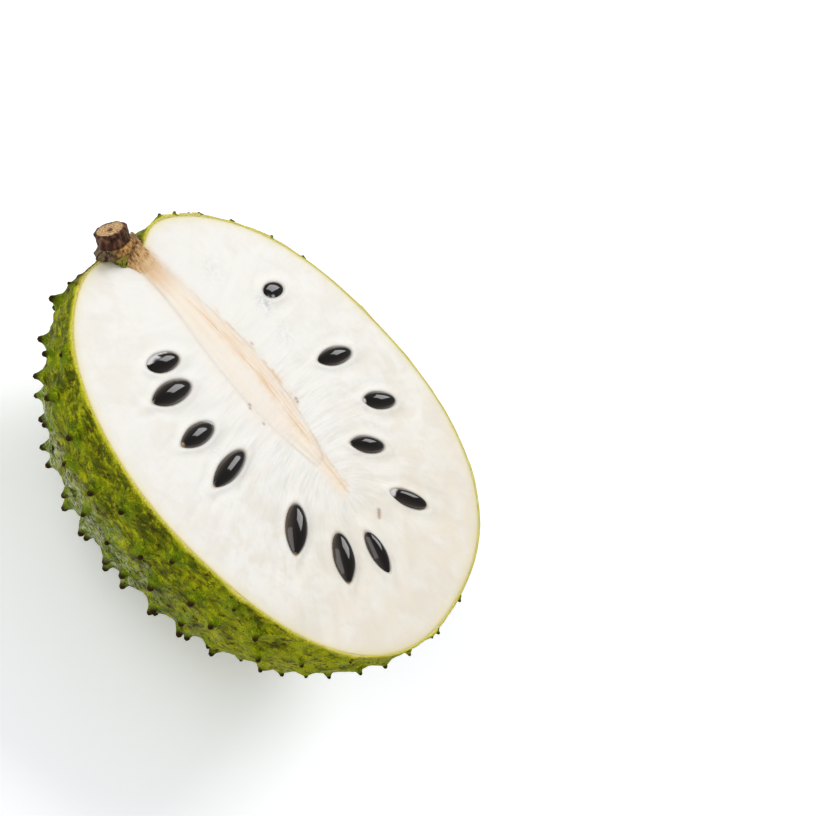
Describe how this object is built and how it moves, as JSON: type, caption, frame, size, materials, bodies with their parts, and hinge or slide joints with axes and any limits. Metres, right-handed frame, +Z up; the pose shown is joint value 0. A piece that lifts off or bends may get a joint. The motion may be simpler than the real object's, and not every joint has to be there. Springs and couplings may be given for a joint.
{
  "type": "soursop half",
  "caption": "Half of a soursop cut lengthways: spined green rind, white pulp, tapered core, woody stalk stub and glossy dark seeds set in the cut face.",
  "frame": {"origin": "on the surface the half rests on, under the middle of its bounding box", "axes": "+Z up out of the level cut face, +X along the fruit from the stalk to the blossom end, +Y across it"},
  "size_m": [0.1752, 0.1392, 0.0838],
  "materials": {
    "rind": "waxy yellow-green skin with darker green and brown mottling, satin",
    "flesh": "wet white fibrous fruit pulp, soft sheen",
    "core": "pale peach fibrous core, tan at the stalk",
    "seed": "polished black-brown seed coat, glossy",
    "bark": "dry ridged brown bark with a pale cut end, rough"
  },
  "bodies": {
    "root": {"rind": "rind", "flesh": "flesh", "core": "core", "stem": "bark", "seed_01": "seed", "seed_02": "seed", "seed_03": "seed", "seed_04": "seed", "seed_05": "seed", "seed_06": "seed", "seed_07": "seed", "seed_08": "seed", "seed_09": "seed", "seed_10": "seed", "seed_11": "seed", "seed_12": "seed"}
  },
  "joints": []
}
